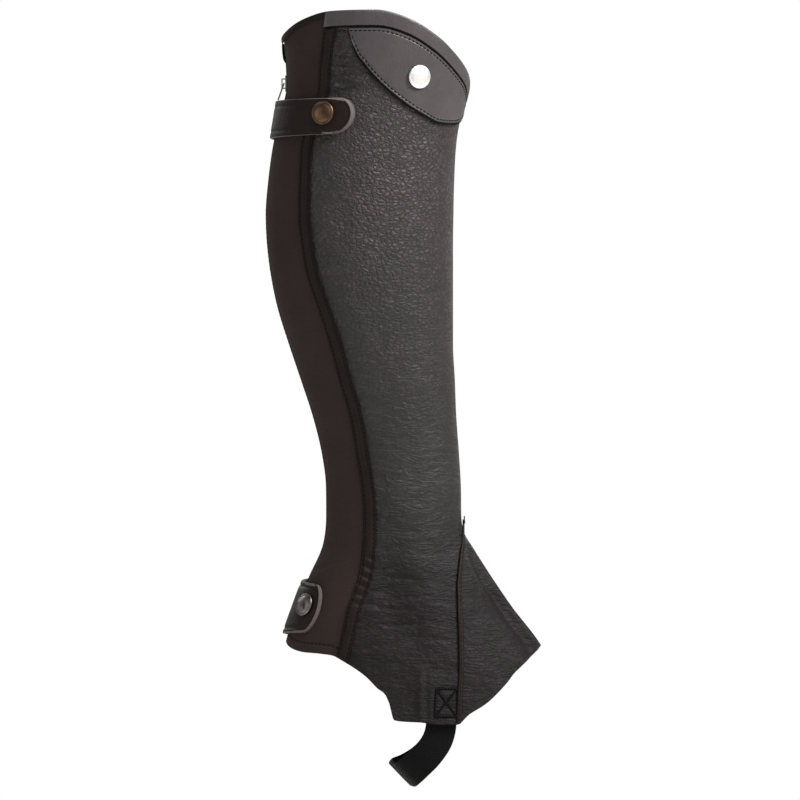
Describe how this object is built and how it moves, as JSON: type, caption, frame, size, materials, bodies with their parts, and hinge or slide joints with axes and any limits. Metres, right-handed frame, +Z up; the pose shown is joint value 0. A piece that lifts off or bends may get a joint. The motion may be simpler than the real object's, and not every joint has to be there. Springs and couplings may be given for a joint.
{
  "type": "half chap",
  "caption": "Leather half chap for the right leg with a stretch back panel, back zip, snap tabs, pointed vamp and under-foot elastic.",
  "frame": {"origin": "middle of the calf's section, where the leg fills and holds the half chap", "axes": "+X to the front of the leg, +Y to the inner side, +Z up the leg to the knee"},
  "size_m": [0.1844, 0.1116, 0.5208],
  "materials": {
    "grain_leather": "pebbled, satin",
    "smooth_leather": "smooth, satin",
    "tab_leather": "smooth, dull",
    "stretch_fabric": "matte knit",
    "zip_tape": "matte woven",
    "elastic_webbing": "matte woven",
    "nickel": "polished",
    "antique_brass": "aged, satin",
    "gunmetal": "satin"
  },
  "bodies": {
    "chap": {"leather_panel": "grain_leather", "stretch_panel": "stretch_fabric", "seam_strip": "grain_leather", "top_band": "smooth_leather", "top_binding": "zip_tape", "zip_tape_outer": "zip_tape", "zip_tape_inner": "zip_tape", "zip_slider": "nickel", "front_patch": "smooth_leather", "patch_stud": "nickel", "top_tab": "tab_leather", "top_tab_snap": "antique_brass", "heel_tab": "tab_leather", "heel_tab_snap": "gunmetal", "vamp": "grain_leather", "vamp_piping_outer": "grain_leather", "vamp_piping_inner": "grain_leather", "foot_strap": "elastic_webbing"},
    "zip_pull": {"zip_pull": "nickel"}
  },
  "joints": [
    {"name": "zip_pull_hinge", "type": "hinge", "parent": "chap", "child": "zip_pull", "pos_m": [-0.04965, 0.00124, 0.08799], "axis": [0, 1, 0], "range_deg": [0, 140]}
  ]
}
